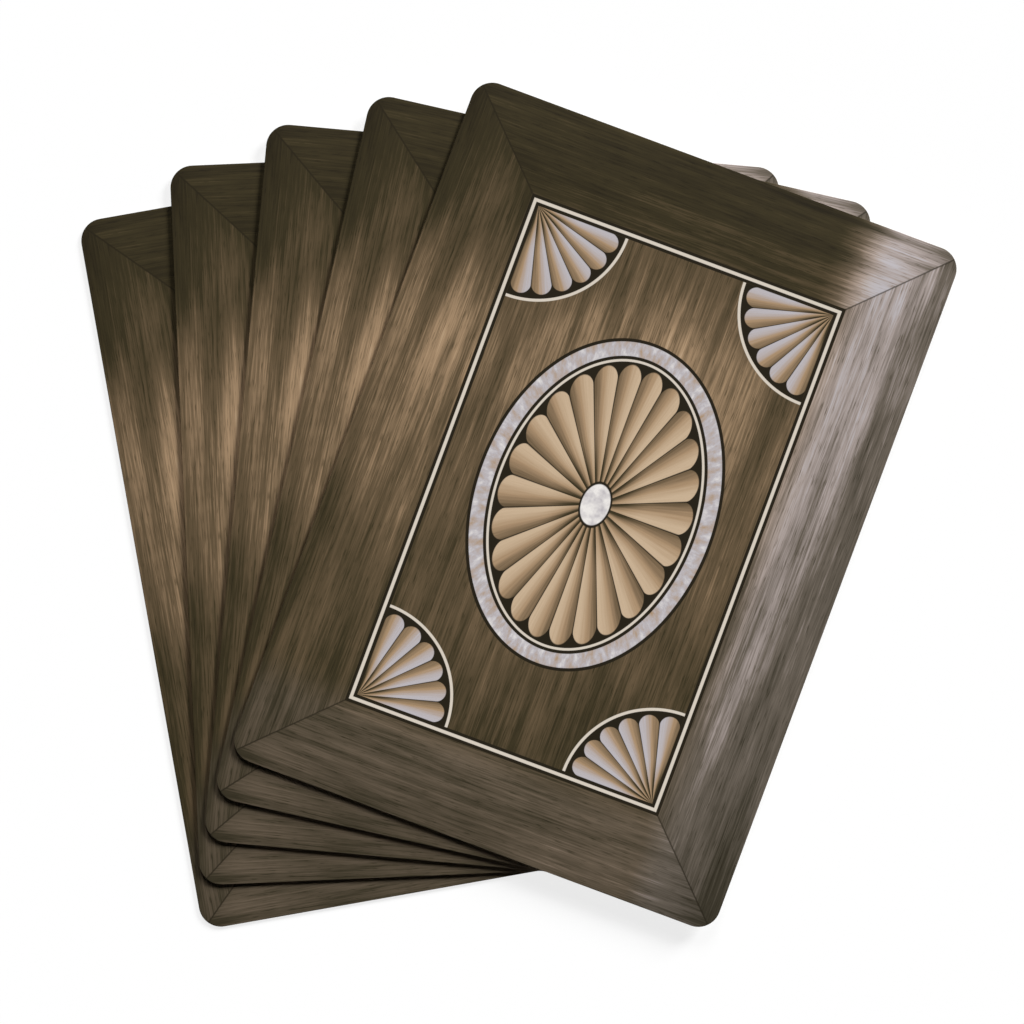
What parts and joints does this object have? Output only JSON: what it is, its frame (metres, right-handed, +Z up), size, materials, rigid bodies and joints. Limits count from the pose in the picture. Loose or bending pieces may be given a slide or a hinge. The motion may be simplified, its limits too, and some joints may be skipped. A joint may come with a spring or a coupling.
{
  "type": "playing card fan",
  "caption": "Fan of round-cornered poker-size playing cards lying face down, each a paper laminate over a black core, turning one on another about a shared pinch point.",
  "frame": {"origin": "centre of the bottom card's underside, on the table", "axes": "+Z up through the cards' backs; +Y along the long side of the bottom card, away from the pinch point; +X along its short side, the way the fan opens"},
  "size_m": [0.1058, 0.1074, 0.0019],
  "materials": {
    "back_print": "satin",
    "face_paper": "satin",
    "black_core": "matte"
  },
  "bodies": {
    "card_1": {"card_1_face_sheet": "face_paper", "card_1_core": "black_core", "card_1_back_sheet": "back_print"},
    "card_2": {"card_2_face_sheet": "face_paper", "card_2_core": "black_core", "card_2_back_sheet": "back_print"},
    "card_3": {"card_3_face_sheet": "face_paper", "card_3_core": "black_core", "card_3_back_sheet": "back_print"},
    "card_4": {"card_4_face_sheet": "face_paper", "card_4_core": "black_core", "card_4_back_sheet": "back_print"},
    "card_5": {"card_5_face_sheet": "face_paper", "card_5_core": "black_core", "card_5_back_sheet": "back_print"}
  },
  "joints": [
    {"name": "card_2_turn", "type": "hinge", "parent": "card_1", "child": "card_2", "pos_m": [0.0106, -0.04685, 0.0004], "axis": [0, 0, -1], "range_deg": [-7.6, 22.4]},
    {"name": "card_3_turn", "type": "hinge", "parent": "card_2", "child": "card_3", "pos_m": [0.0106, -0.04685, 0.0008], "axis": [0, 0, -1], "range_deg": [-7.6, 22.4]},
    {"name": "card_4_turn", "type": "hinge", "parent": "card_3", "child": "card_4", "pos_m": [0.0106, -0.04685, 0.0012], "axis": [0, 0, -1], "range_deg": [-7.6, 22.4]},
    {"name": "card_5_turn", "type": "hinge", "parent": "card_4", "child": "card_5", "pos_m": [0.0106, -0.04685, 0.0016], "axis": [0, 0, -1], "range_deg": [-7.6, 22.4]}
  ]
}
